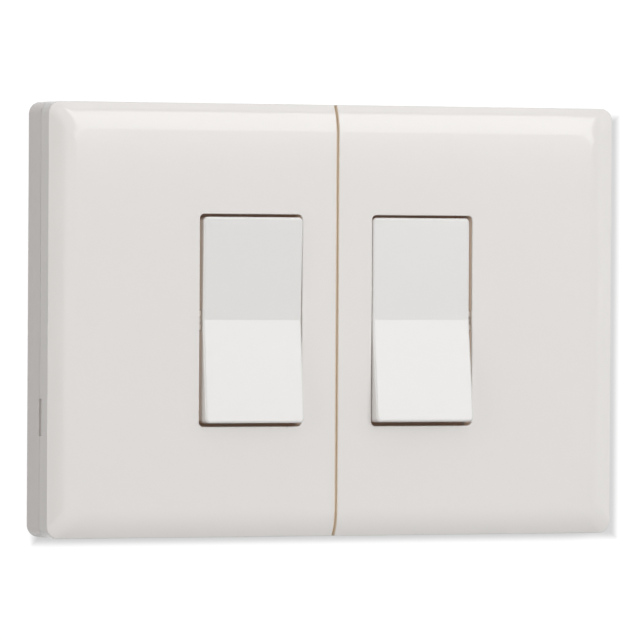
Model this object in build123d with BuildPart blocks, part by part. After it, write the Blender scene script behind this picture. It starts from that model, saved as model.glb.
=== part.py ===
"""Two-gang smart rocker light switch: a wall tray, two clip-on covers and two wireless rocker modules.

Millimetres. The wall is the plane Y = 0, the front faces -Y, Z is up, and the origin is the middle of the
back. A depth is a distance in front of the wall.
"""
import os
from math import cos, radians, sin, sqrt, tan

from build123d import *

# Plate
plate_width = 162.0
plate_height = 114.3
plate_depth = 17.0
corner_radius = 3.2
bevel_width = 7.2
bevel_drop = 2.0
bevel_sections = 5
shell_wall = 2.0
parting_depth = 9.2
parting_gap = 0.15
seam_gap = 0.6
seam_wall = 1.5
seam_reveal = 0.8
seam_fit = 0.1
edge_round = 0.3
seam_round = 0.25

# Rocker openings
opening_spacing = 49.2
opening_width = 29.1
opening_height = 56.0
opening_corner = 1.2
collar_wall = 1.5
collar_height = 1.6

# Rockers
rocker_inner_gap = 0.2
rocker_outer_gap = 0.85
rocker_end_gap = 0.85
rocker_proud = 0.1
rocker_half_angle = 3.6
rocker_wall = 1.8
rocker_round = 0.6
rocker_corner = 1.2
rocker_skirt = 5.6
rib_thickness = 1.2
rib_height = 2.4
pivot_setback = 2.8
pin_radius = 1.2
pin_length = 1.3
pin_clearance = 0.05
press_rib_radius = 1.2
press_rib_width = 5.0
press_clearance = 0.3
rest_angle = {"left": -1.8, "right": -3.6}

# Switch frames
frame_side_gap = 0.55
frame_end_gap = 1.4
frame_wall = 1.8
frame_front_gap = 0.4
tab_width = 8.0
tab_thickness = 2.0
tab_spacing = 20.0
tab_clearance = 0.3
bearing_mouth = 2.1
ear_gap = 0.15
ear_wall = 1.2
ear_width = 5.0
ear_rise = 0.5
ledge_width = 4.0
ledge_thickness = 1.5

# Base tray
floor_thickness = 2.0
back_recess = 0.8
back_rim = 3.0
wall_screw_spacing_x = 46.04
wall_screw_spacing_z = 83.3
wall_screw_radius = 2.2
wall_screw_head_radius = 4.1
wall_boss_radius = 5.5
wall_boss_height = 1.0
boss_radius = 3.0
pad_height = 1.6
pad_radius = 2.2
peg_radius = 1.0
peg_clearance = 0.1

# Cover lips, hooks and pry slots
lip_wall = 1.4
lip_clearance = 0.2
lip_reach = 3.4
hook_width = 8.0
hook_height = 0.7
hook_length = 1.4
hook_clearance = 0.2
hook_spacing_x = 40.0
hook_side_z = 25.5
pry_length = 9.7
pry_width = 1.2
pry_tray_width = 0.5
pry_depth = 0.9

# Circuit board and its parts
board_thickness = 1.6
board_edge_gap = 6.0
board_corner = 1.0
switch_size = 7.0
switch_height = 4.2
switch_stroke = 2.0
switch_lid = 0.6
switch_floor = 0.6
switch_corner = 0.6
stem_radius = 1.6
flange_radius = 2.3
flange_height = 0.6
plunger_clearance = 0.05
plunger_gap = 0.05
cell_radius = 10.0
cell_height = 3.2
cell_step = 0.6
holder_floor = 0.8
holder_wall = 1.2
holder_rise = 2.4
holder_margin = 4.0
finger_gap = 9.0
cell_clearance = 0.25
clip_thickness = 0.4
clip_width = 6.0
clip_gap = 0.1
contact_length = 10.0
contact_width = 4.0
radio_width = 16.0
radio_height = 18.0
radio_thickness = 0.8
radio_gap = 3.0
shield_width = 13.0
shield_height = 12.0
shield_depth = 2.0
shield_wall = 0.3
shield_margin = 1.0
antenna_length = 20.0
antenna_width = 2.0
antenna_rise = 3.0
antenna_thickness = 0.4
antenna_margin = 3.0

# Frame screws
screw_radius = 1.1
screw_hole_clearance = 0.2
screw_head_radius = 2.1
screw_head_height = 1.5
screw_slot_width = 0.6
screw_slot_depth = 0.7

# Places worked out from the sizes above
sides = {"left": -1, "right": 1}
halves = {"upper": 1, "lower": -1}
bevel_radius = (bevel_width**2 + bevel_drop**2) / (2 * bevel_drop)
crease_depth = plate_depth - bevel_drop
inner_face = plate_depth - shell_wall
inner_radius = max(corner_radius - shell_wall, 0.4)
opening_x = opening_spacing / 2
rocker_x = opening_x - (rocker_outer_gap - rocker_inner_gap) / 2
rocker_width = opening_width - rocker_outer_gap - rocker_inner_gap
rocker_height = opening_height - 2 * rocker_end_gap
pivot_depth = plate_depth - pivot_setback
rocker_face = pivot_setback + rocker_proud
frame_inner_x = rocker_width / 2 + frame_side_gap
frame_inner_z = rocker_height / 2 + frame_end_gap
frame_outer_x = frame_inner_x + frame_wall
frame_outer_z = frame_inner_z + frame_wall
board_back = floor_thickness + pad_height
board_front = board_back + board_thickness
frame_front = inner_face - collar_height - frame_front_gap
tab_z = frame_outer_z + boss_radius + tab_clearance
ear_x = rocker_width / 2 + ear_gap + ear_wall / 2
ear_front = pivot_depth + pin_radius + ear_rise
board_inner_x = rocker_x - frame_outer_x
board_outer_x = plate_width / 2 - shell_wall - board_edge_gap
cell_x = (rocker_x + frame_outer_x + board_outer_x) / 2
press_z = switch_stroke / (2 * sin(radians(rocker_half_angle)))
press_rest = board_front + switch_height + press_clearance + press_rib_radius + switch_stroke / 2
press_dome = (press_rest - pivot_depth) / cos(radians(rocker_half_angle))
lip_depth = parting_depth - lip_reach
hook_depth = lip_depth + hook_length
peg_x = board_outer_x - pad_radius - peg_radius
peg_z = frame_outer_z - 2 * pad_radius
holder_radius = cell_radius + cell_clearance + holder_wall
cell_z = frame_outer_z - holder_margin - holder_radius
antenna_z = -frame_outer_z + antenna_margin + antenna_width / 2
radio_z = antenna_z + antenna_width / 2 + radio_gap + radio_height / 2


def at_depth(depth):
    """Return the plane that lies the given depth in front of the wall and faces the front."""
    return Plane.XZ.offset(depth)


def rocker_plane(side):
    """Return the front-facing plane on a rocker's pivot, turned to the rocker's rest angle."""
    turn = radians(rest_angle[side])
    pivot = (sides[side] * rocker_x, -pivot_depth, 0)
    return Plane(pivot, x_dir=(1, 0, 0), z_dir=(0, -cos(turn), -sin(turn)))


def side_plane(plane):
    """Return the plane across a rocker: local x runs out of its face, local y runs up it."""
    return Plane(plane.origin, x_dir=plane.z_dir, z_dir=(-1, 0, 0))


def bevel_depth(inset):
    """Return how far in front of the crease the bevel stands at an inset from the plate's edge."""
    return bevel_drop - bevel_radius + sqrt(bevel_radius**2 - (bevel_width - inset)**2)


def press_tip(turn):
    """Return the depth of a press rib's round tip when its own end of the rocker is turned outward."""
    swing = press_dome * cos(radians(turn)) + press_z * sin(radians(turn))
    return pivot_depth + swing - press_rib_radius


lid_depth = board_front + switch_height - switch_lid
plunger_top = press_tip(rocker_half_angle) - plunger_gap
plunger_length = plunger_top - lid_depth + plunger_clearance + flange_height


def plate_form(inset, back):
    """Return the plate's outer form, moved in on all sides and at the front by an inset."""
    width = plate_width - 2 * inset
    height = plate_height - 2 * inset
    radius = max(corner_radius - inset, 0.4)
    crease = crease_depth - inset
    with BuildPart() as form:
        with BuildSketch(at_depth(back)):
            RectangleRounded(width, height, radius)
        extrude(amount=crease - back)
        for step in range(bevel_sections + 1):
            edge = bevel_width * step / bevel_sections
            with BuildSketch(at_depth(crease + bevel_depth(edge))):
                RectangleRounded(width - 2 * edge, height - 2 * edge, radius)
        loft()
    return form.part


def make_base_tray():
    """Return the tray that is screwed to the wall and carries both gangs."""
    inner_width = plate_width - 2 * shell_wall
    inner_height = plate_height - 2 * shell_wall
    with BuildPart() as tray:
        with BuildSketch(at_depth(0)):
            RectangleRounded(plate_width, plate_height, corner_radius)
        extrude(amount=parting_depth)
        with BuildSketch(at_depth(floor_thickness)):
            RectangleRounded(inner_width, inner_height, inner_radius)
        extrude(amount=parting_depth, mode=Mode.SUBTRACT)
        with BuildSketch(at_depth(0)):
            RectangleRounded(inner_width - back_rim, inner_height - back_rim, corner_radius)
            with GridLocations(plate_width / 4, 1, 3, 1):
                Rectangle(back_rim / 2, inner_height, mode=Mode.SUBTRACT)
            with GridLocations(1, plate_height / 4, 1, 3):
                Rectangle(inner_width, back_rim / 2, mode=Mode.SUBTRACT)
            with GridLocations(wall_screw_spacing_x, wall_screw_spacing_z, 2, 2):
                Circle(wall_boss_radius, mode=Mode.SUBTRACT)
        extrude(amount=back_recess, mode=Mode.SUBTRACT)
        with BuildSketch(at_depth(floor_thickness)):
            Rectangle(shell_wall, inner_height)
        extrude(amount=parting_depth - floor_thickness)
        with BuildSketch(at_depth(floor_thickness)):
            with GridLocations(wall_screw_spacing_x, wall_screw_spacing_z, 2, 2):
                Circle(wall_boss_radius)
        extrude(amount=wall_boss_height)
        for side in sides.values():
            with BuildSketch(at_depth(floor_thickness)):
                with Locations((side * rocker_x, 0)):
                    with GridLocations(tab_spacing, 2 * tab_z, 2, 2):
                        Circle(boss_radius)
            extrude(amount=board_front - floor_thickness)
            with BuildSketch(at_depth(floor_thickness)):
                with Locations((side * rocker_x, 0)):
                    with GridLocations(2 * frame_inner_x, 2 * frame_inner_z - 2 * pad_radius, 2, 2):
                        Rectangle(2 * pad_radius, 2 * pad_radius)
                with Locations((side * peg_x, peg_z), (side * peg_x, -peg_z)):
                    Rectangle(2 * pad_radius, 2 * pad_radius)
            extrude(amount=pad_height)
            with BuildSketch(at_depth(board_back)):
                with Locations((side * peg_x, peg_z), (side * peg_x, -peg_z)):
                    Circle(peg_radius)
            extrude(amount=board_thickness + peg_radius)
            with BuildSketch(at_depth(floor_thickness)):
                with Locations((side * rocker_x, 0)):
                    with GridLocations(tab_spacing, 2 * tab_z, 2, 2):
                        Circle(screw_radius)
            extrude(amount=board_front, mode=Mode.SUBTRACT)
            for x, z, turn in hook_places(side):
                with BuildSketch(at_depth(hook_depth - hook_length - hook_clearance)):
                    with Locations(Location((x, z, 0), (0, 0, turn))):
                        Rectangle(2 * hook_height, hook_width + 2 * hook_clearance)
                extrude(amount=hook_length + 2 * hook_clearance, mode=Mode.SUBTRACT)
            with BuildSketch(at_depth(parting_depth - pry_tray_width)):
                with Locations((side * plate_width / 2, -hook_side_z)):
                    Rectangle(2 * pry_depth, pry_length)
            extrude(amount=pry_tray_width, mode=Mode.SUBTRACT)
        with Locations(at_depth(floor_thickness + wall_boss_height)):
            with GridLocations(wall_screw_spacing_x, wall_screw_spacing_z, 2, 2):
                CounterSinkHole(wall_screw_radius, wall_screw_head_radius, counter_sink_angle=90)
    return tray


def hook_places(side):
    """Return the (x, z, turn) of a cover's hooks: two at the top, two at the bottom, two on the side."""
    inner_x = plate_width / 2 - shell_wall
    inner_z = plate_height / 2 - shell_wall
    places = []
    for half in halves.values():
        for along in (-hook_spacing_x / 2, hook_spacing_x / 2):
            places.append((side * (plate_width / 4 + along), half * inner_z, 90 * half))
        places.append((side * inner_x, half * hook_side_z, 90 - 90 * side))
    return places


def make_cover(name):
    """Return one half of the front: a bevelled shell with the rocker's opening and a hooked lip.

    The opening's collar has a notch on each side for the frame's bearing ears. The left cover also has the
    tongue that closes the seam a little behind the front.
    """
    side = sides[name]
    keep = Keep.TOP if side > 0 else Keep.BOTTOM
    back = parting_depth + parting_gap
    with BuildPart() as hollow:
        add(plate_form(shell_wall, back - shell_wall))
        split(bisect_by=Plane.YZ.offset(side * (seam_gap / 2 + seam_wall)), keep=keep)
    with BuildPart() as tongue:
        add(plate_form(seam_reveal, back))
        split(bisect_by=Plane.YZ.offset(seam_gap / 2 - seam_fit), keep=Keep.BOTTOM)
        split(bisect_by=Plane.YZ.offset(-seam_gap / 2 - seam_wall / 2), keep=Keep.TOP)
    with BuildPart() as lip:
        reach = plate_width / 2 - shell_wall
        rise = plate_height / 2 - shell_wall
        free_part = (lip_clearance, lip_depth, back)
        root_part = (-shell_wall / 2, back, back + lip_wall)
        for clear, start, stop in (free_part, root_part):
            with BuildSketch(at_depth(start)):
                RectangleRounded(2 * (reach - clear), 2 * (rise - clear), inner_radius)
                inner = lip_clearance + lip_wall
                Rectangle(2 * (reach - inner), 2 * (rise - inner), mode=Mode.SUBTRACT)
            extrude(amount=stop - start)
        split(bisect_by=Plane.YZ.offset(side * (shell_wall / 2 + lip_clearance)), keep=keep)
        for x, z, turn in hook_places(side):
            with BuildSketch(at_depth(hook_depth - hook_length)):
                with Locations(Location((x, z, 0), (0, 0, turn))):
                    with Locations((-lip_clearance, 0)):
                        Rectangle(2 * (hook_height - hook_clearance), hook_width)
            extrude(amount=hook_length)
    with BuildPart() as cover:
        add(plate_form(0, back))
        split(bisect_by=Plane.YZ.offset(side * seam_gap / 2), keep=keep)
        creases = edges().filter_by_position(Axis.Y, -crease_depth - 0.01, -crease_depth + 0.01)
        fillet(creases, radius=edge_round)
        seam = faces().sort_by(Axis.X)[0 if side > 0 else -1]
        fillet(seam.edges().group_by(Axis.Y)[0], radius=seam_round)
        add(hollow.part, mode=Mode.SUBTRACT)
        with BuildSketch(at_depth(inner_face)):
            with Locations((side * opening_x, 0)):
                collar_width = opening_width + 2 * collar_wall
                collar_tall = opening_height + 2 * collar_wall
                RectangleRounded(collar_width, collar_tall, opening_corner + collar_wall)
        extrude(amount=-collar_height)
        with BuildSketch(at_depth(inner_face - collar_height)):
            with Locations((side * opening_x, 0)):
                RectangleRounded(opening_width, opening_height, opening_corner)
        extrude(amount=collar_height + 2 * shell_wall, mode=Mode.SUBTRACT)
        front = faces().sort_by(Axis.Y)[0]
        fillet(front.inner_wires()[0].edges(), radius=edge_round)
        with BuildSketch(at_depth(inner_face - collar_height)):
            with Locations((side * opening_x, 0)):
                Rectangle(opening_width + 2 * collar_wall, ear_width + 2 * ear_gap)
        extrude(amount=ear_front + ear_gap - inner_face + collar_height, mode=Mode.SUBTRACT)
        add(lip.part)
        if name == "left":
            add(tongue.part)
        with BuildSketch(at_depth(back)):
            with Locations((side * plate_width / 2, -hook_side_z)):
                Rectangle(2 * pry_depth, pry_length)
        extrude(amount=pry_width, mode=Mode.SUBTRACT)
    return cover


def rocker_half(plane, end):
    """Return the solid block of one half of a rocker, its outer edges rounded."""
    across = side_plane(plane)
    half_height = rocker_height / 2
    skirt = rocker_face - rocker_skirt
    tip = rocker_face + half_height * tan(radians(rocker_half_angle))
    with BuildPart() as half:
        with BuildSketch(across):
            with BuildLine():
                outer = end * half_height
                Polyline((skirt, 0), (rocker_face, 0), (tip, outer), (skirt, outer), close=True)
            make_face()
        extrude(amount=rocker_width / 2, both=True)
        end_face = faces().sort_by(Axis.Z)[-1 if end > 0 else 0]
        corners = end_face.edges().filter_by(Axis(plane.origin, plane.z_dir))
        fillet(corners, radius=rocker_corner)
        front_face = faces().sort_by(Axis.Y)[0]
        seat = front_face.edges().sort_by(Axis.Z)[0 if end > 0 else -1]
        fillet(front_face.edges() - [seat], radius=rocker_round)
    return half.part


def make_rocker(name):
    """Return one rocker: a V-faced hollow paddle with two pivot pins and two press ribs."""
    plane = rocker_plane(name)
    across = side_plane(plane)
    half_width = rocker_width / 2
    inside = rocker_height / 2 - rocker_wall
    slope = tan(radians(rocker_half_angle))
    floor = rocker_face - rocker_wall
    skirt = rocker_face - rocker_skirt
    press_root = floor + press_z * slope + rocker_wall / 2
    with BuildPart() as rocker:
        for end in halves.values():
            add(rocker_half(plane, end))
        with BuildSketch(across):
            with BuildLine():
                Polyline(
                    (skirt, -inside),
                    (floor + inside * slope, -inside),
                    (floor, 0),
                    (floor + inside * slope, inside),
                    (skirt, inside),
                    close=True,
                )
            make_face()
        extrude(amount=half_width - rocker_wall, both=True, mode=Mode.SUBTRACT)
        for end in halves.values():
            with BuildSketch(across.offset(end * half_width)):
                Circle(pin_radius)
            extrude(amount=end * pin_length)
            with BuildSketch(plane.offset(floor - rib_height)):
                with Locations((0, end * press_z / 2)):
                    Rectangle(rocker_width - rocker_wall, rib_thickness)
            extrude(amount=rib_height + rocker_wall / 2)
            with BuildSketch(across):
                with Locations((press_dome, end * press_z)):
                    Circle(press_rib_radius)
                with Locations(((press_dome + press_root) / 2, end * press_z)):
                    Rectangle(press_root - press_dome, 2 * press_rib_radius)
            extrude(amount=press_rib_width / 2, both=True)
    return rocker


def make_switch_frame(name):
    """Return the frame around one rocker: a ledge on the board, two bearing ears and four screw tabs."""
    centre = (sides[name] * rocker_x, 0)
    with BuildPart() as frame:
        with BuildSketch(at_depth(board_front)):
            with Locations(centre):
                Rectangle(2 * frame_outer_x, 2 * frame_outer_z)
                Rectangle(2 * frame_inner_x, 2 * frame_inner_z, mode=Mode.SUBTRACT)
        extrude(amount=frame_front - board_front)
        with BuildSketch(at_depth(board_front)):
            with Locations(centre):
                Rectangle(2 * frame_inner_x + frame_wall, 2 * frame_inner_z + frame_wall)
                window = (2 * (frame_inner_x - ledge_width), 2 * (frame_inner_z - ledge_width))
                Rectangle(*window, mode=Mode.SUBTRACT)
        extrude(amount=ledge_thickness)
        with BuildSketch(at_depth(board_front)):
            with Locations(centre):
                with GridLocations(2 * ear_x, 1, 2, 1):
                    Rectangle(ear_wall, ear_width)
        extrude(amount=ear_front - board_front)
        with BuildSketch(at_depth(board_front)):
            with Locations(centre):
                with GridLocations(tab_spacing, 2 * tab_z, 2, 2):
                    Circle(tab_width / 2)
                with GridLocations(tab_spacing, 2 * frame_outer_z, 2, 2):
                    Rectangle(tab_width, 2 * (tab_z - frame_outer_z))
                Rectangle(2 * frame_inner_x, 2 * frame_inner_z, mode=Mode.SUBTRACT)
                with GridLocations(tab_spacing, 2 * tab_z, 2, 2):
                    Circle(screw_radius + screw_hole_clearance, mode=Mode.SUBTRACT)
        extrude(amount=tab_thickness)
        with BuildSketch(Plane.YZ.offset(centre[0])):
            with Locations((-pivot_depth, 0)):
                Circle(pin_radius + pin_clearance)
            with Locations((-(pivot_depth + ear_front) / 2, 0)):
                Rectangle(ear_front - pivot_depth, bearing_mouth)
        extrude(amount=2 * frame_outer_x, both=True, mode=Mode.SUBTRACT)
    return frame


def make_circuit_board(name):
    """Return one gang's circuit board, with holes for the tray's two pegs."""
    side = sides[name]
    with BuildPart() as board:
        with BuildSketch(at_depth(board_back)):
            with Locations((side * (board_inner_x + board_outer_x) / 2, 0)):
                RectangleRounded(board_outer_x - board_inner_x, 2 * frame_outer_z, board_corner)
            with Locations((side * peg_x, peg_z), (side * peg_x, -peg_z)):
                Circle(peg_radius + peg_clearance, mode=Mode.SUBTRACT)
        extrude(amount=board_thickness)
    return board


def make_push_switch(name, half):
    """Return the housing of one push switch, hollow for its plunger's flange."""
    place = (sides[name] * rocker_x, halves[half] * press_z)
    with BuildPart() as switch:
        with BuildSketch(at_depth(board_front)):
            with Locations(place):
                RectangleRounded(switch_size, switch_size, switch_corner)
        extrude(amount=switch_height)
        with BuildSketch(at_depth(board_front + switch_floor)):
            with Locations(place):
                Circle(flange_radius + plunger_clearance)
        extrude(amount=switch_height - switch_floor - switch_lid, mode=Mode.SUBTRACT)
        with BuildSketch(at_depth(board_front + switch_floor)):
            with Locations(place):
                Circle(stem_radius + plunger_clearance)
        extrude(amount=switch_height, mode=Mode.SUBTRACT)
    return switch


def make_plunger(name, half):
    """Return one plunger, pushed in as far as its rocker's press rib holds it at rest."""
    place = (sides[name] * rocker_x, halves[half] * press_z)
    top = press_tip(halves[half] * rest_angle[name]) - plunger_gap
    with BuildPart() as plunger:
        with BuildSketch(at_depth(top - plunger_length)):
            with Locations(place):
                Circle(flange_radius)
        extrude(amount=flange_height)
        with BuildSketch(at_depth(top - plunger_length)):
            with Locations(place):
                Circle(stem_radius)
        extrude(amount=plunger_length)
    return plunger


def make_battery_holder(name):
    """Return the ring that holds one gang's coin cell, open at one side for a fingertip."""
    place = (sides[name] * cell_x, cell_z)
    with BuildPart() as holder:
        with BuildSketch(at_depth(board_front)):
            with Locations(place):
                Circle(holder_radius)
                Rectangle(contact_length + cell_clearance, contact_width + cell_clearance, mode=Mode.SUBTRACT)
        extrude(amount=holder_floor)
        with BuildSketch(at_depth(board_front + holder_floor)):
            with Locations(place):
                Circle(holder_radius)
                Circle(cell_radius + cell_clearance, mode=Mode.SUBTRACT)
                with Locations((0, holder_radius)):
                    Rectangle(finger_gap, holder_radius, mode=Mode.SUBTRACT)
        extrude(amount=holder_rise)
    return holder


def make_coin_cell(name):
    """Return one coin cell, its smaller minus cap towards the board."""
    place = (sides[name] * cell_x, cell_z)
    with BuildPart() as cell:
        with BuildSketch(at_depth(board_front + holder_floor)):
            with Locations(place):
                Circle(cell_radius - cell_step)
        extrude(amount=cell_step)
        with BuildSketch(at_depth(board_front + holder_floor + cell_step)):
            with Locations(place):
                Circle(cell_radius)
        extrude(amount=cell_height - cell_step)
        chamfer(faces().sort_by(Axis.Y)[0].edges(), length=cell_step / 2)
    return cell


def make_battery_clip(name):
    """Return the sprung plus strip that bridges one coin cell and stands on the board."""
    place = (sides[name] * cell_x, cell_z)
    span = holder_radius + clip_gap + clip_thickness
    rise = holder_floor + cell_height
    with BuildPart() as clip:
        with BuildSketch(at_depth(board_front + rise)):
            with Locations(place):
                Rectangle(2 * span, clip_width)
        extrude(amount=clip_thickness)
        with BuildSketch(at_depth(board_front)):
            with Locations(place):
                with GridLocations(2 * span - clip_thickness, 1, 2, 1):
                    Rectangle(clip_thickness, clip_width)
        extrude(amount=rise)
    return clip


def make_battery_contact(name):
    """Return the minus contact in the window of one battery holder."""
    with BuildPart() as contact:
        with BuildSketch(at_depth(board_front)):
            with Locations((sides[name] * cell_x, cell_z)):
                Rectangle(contact_length, contact_width)
        extrude(amount=holder_floor)
    return contact


def make_radio_board(name):
    """Return one gang's small radio board."""
    with BuildPart() as radio:
        with BuildSketch(at_depth(board_front)):
            with Locations((sides[name] * cell_x, radio_z)):
                Rectangle(radio_width, radio_height)
        extrude(amount=radio_thickness)
    return radio


def make_radio_shield(name):
    """Return the folded sheet can over one radio board, open towards the board."""
    place = (sides[name] * cell_x, radio_z + (radio_height - shield_height) / 2 - shield_margin)
    with BuildPart() as shield:
        with BuildSketch(at_depth(board_front + radio_thickness)):
            with Locations(place):
                Rectangle(shield_width, shield_height)
        extrude(amount=shield_depth)
        with BuildSketch(at_depth(board_front + radio_thickness)):
            with Locations(place):
                Rectangle(shield_width - 2 * shield_wall, shield_height - 2 * shield_wall)
        extrude(amount=shield_depth - shield_wall, mode=Mode.SUBTRACT)
    return shield


def make_antenna(name):
    """Return one stamped strip antenna on two legs."""
    place = (sides[name] * cell_x, antenna_z)
    with BuildPart() as antenna:
        with BuildSketch(at_depth(board_front + antenna_rise - antenna_thickness)):
            with Locations(place):
                Rectangle(antenna_length, antenna_width)
        extrude(amount=antenna_thickness)
        with BuildSketch(at_depth(board_front)):
            with Locations(place):
                with GridLocations(antenna_length - antenna_thickness, 1, 2, 1):
                    Rectangle(antenna_thickness, antenna_width)
        extrude(amount=antenna_rise)
    return antenna


def make_frame_screws(name):
    """Return the four slotted screws that hold one switch frame on the tray's bosses."""
    centre = (sides[name] * rocker_x, 0)
    seat = board_front + tab_thickness
    with BuildPart() as screws:
        with BuildSketch(at_depth(floor_thickness)):
            with Locations(centre):
                with GridLocations(tab_spacing, 2 * tab_z, 2, 2):
                    Circle(screw_radius)
        extrude(amount=seat - floor_thickness)
        with BuildSketch(at_depth(seat)):
            with Locations(centre):
                with GridLocations(tab_spacing, 2 * tab_z, 2, 2):
                    Circle(screw_head_radius)
        extrude(amount=screw_head_height)
        with BuildSketch(at_depth(seat + screw_head_height - screw_slot_depth)):
            with Locations(centre):
                with GridLocations(tab_spacing, 2 * tab_z, 2, 2):
                    Rectangle(2 * screw_head_radius, screw_slot_width)
                    Rectangle(screw_slot_width, 2 * screw_head_radius)
        extrude(amount=screw_slot_depth, mode=Mode.SUBTRACT)
    return screws


def export(piece, name):
    """Label a finished piece and write its STEP file."""
    piece.part.label = name
    export_step(piece.part, f"parts/{name}.step")


os.makedirs("parts", exist_ok=True)
export(make_base_tray(), "base_tray")
for name in sides:
    export(make_cover(name), f"{name}_cover")
    export(make_rocker(name), f"{name}_rocker")
    export(make_switch_frame(name), f"{name}_switch_frame")
    export(make_circuit_board(name), f"{name}_circuit_board")
    for half in halves:
        export(make_push_switch(name, half), f"{name}_{half}_push_switch")
        export(make_plunger(name, half), f"{name}_{half}_plunger")
    export(make_battery_holder(name), f"{name}_battery_holder")
    export(make_coin_cell(name), f"{name}_coin_cell")
    export(make_battery_clip(name), f"{name}_battery_clip")
    export(make_battery_contact(name), f"{name}_battery_contact")
    export(make_radio_board(name), f"{name}_radio_board")
    export(make_radio_shield(name), f"{name}_radio_shield")
    export(make_antenna(name), f"{name}_antenna")
    export(make_frame_screws(name), f"{name}_frame_screws")
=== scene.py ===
"""Looks of a two-gang smart rocker switch.

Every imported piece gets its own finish, the circuit boards get their small parts, and a studio with
a pale wall and floor, soft lamps and the photograph's camera stands around the switch. Metres: the
wall is the plane Y = 0, the front faces -Y and Z is up.
"""
import logging
import math
from collections.abc import Callable
from dataclasses import dataclass, field
from enum import Enum

import bpy
from mathutils import Matrix, Vector


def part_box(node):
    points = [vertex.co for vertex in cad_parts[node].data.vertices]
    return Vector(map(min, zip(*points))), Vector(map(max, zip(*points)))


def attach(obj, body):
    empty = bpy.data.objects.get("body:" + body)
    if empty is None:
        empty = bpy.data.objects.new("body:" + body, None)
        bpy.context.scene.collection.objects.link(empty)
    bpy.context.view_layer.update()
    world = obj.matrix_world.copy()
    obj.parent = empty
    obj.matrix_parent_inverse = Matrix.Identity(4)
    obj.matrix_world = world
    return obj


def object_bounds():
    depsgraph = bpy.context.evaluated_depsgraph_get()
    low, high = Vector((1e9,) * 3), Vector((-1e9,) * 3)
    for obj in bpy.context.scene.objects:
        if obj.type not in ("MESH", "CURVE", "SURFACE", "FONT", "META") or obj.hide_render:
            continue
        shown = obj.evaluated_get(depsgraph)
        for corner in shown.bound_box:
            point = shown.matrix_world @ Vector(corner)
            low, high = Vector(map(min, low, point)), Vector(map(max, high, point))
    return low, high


logging.basicConfig(level=logging.INFO, format="%(message)s")
log = logging.getLogger("rocker_switch")

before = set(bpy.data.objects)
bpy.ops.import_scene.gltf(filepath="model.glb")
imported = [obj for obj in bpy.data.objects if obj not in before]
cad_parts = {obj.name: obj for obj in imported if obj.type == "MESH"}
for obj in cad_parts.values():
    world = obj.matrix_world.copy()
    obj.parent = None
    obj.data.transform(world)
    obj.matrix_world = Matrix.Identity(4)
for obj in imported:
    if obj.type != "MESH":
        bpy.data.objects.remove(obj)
CAD_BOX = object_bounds()
IMAGE_PIXELS = 640
MM = 0.001
FLATTEN = (1.0, 0.0, 1.0)

# A face is at a place when it is this near, and faces a way when its normal goes this far along it.
NEAR = 0.01 * MM
FACING = 0.9

# Edges sharper than the first angle are rounded, and those below the second one are shaded smooth.
SHARP_ANGLE = math.radians(30.0)
SMOOTH_ANGLE = math.radians(35.0)
BEVEL_STEPS = 2

Triple = tuple[float, float, float]
Rgba = tuple[float, float, float, float]
Socket = bpy.types.NodeSocket
Value = float | Triple | Rgba | Socket


class Side(Enum):
    """The two gangs of the switch."""

    LEFT = "left"
    RIGHT = "right"

    @property
    def sign(self) -> int:
        """The gang's direction along X from the seam."""
        return -1 if self is Side.LEFT else 1


class Half(Enum):
    """The two push switches of a gang."""

    UPPER = "upper"
    LOWER = "lower"

    @property
    def sign(self) -> int:
        """The half's direction along Z from the rocker's crease."""
        return 1 if self is Half.UPPER else -1


class Turn(Enum):
    """How a new plane is turned before it is shaped."""

    TO_FRONT = (math.pi / 2, 0.0, 0.0)
    TO_RIGHT = (0.0, math.pi / 2, 0.0)
    UP = (0.0, 0.0, 0.0)


def opaque(colour: Triple) -> Rgba:
    """Return a colour with full alpha."""
    return (*colour, 1.0)


def grey(level: float) -> Rgba:
    """Return the opaque grey of a level, where 1 is white."""
    return opaque((level, level, level))


# Shader nodes


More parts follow.
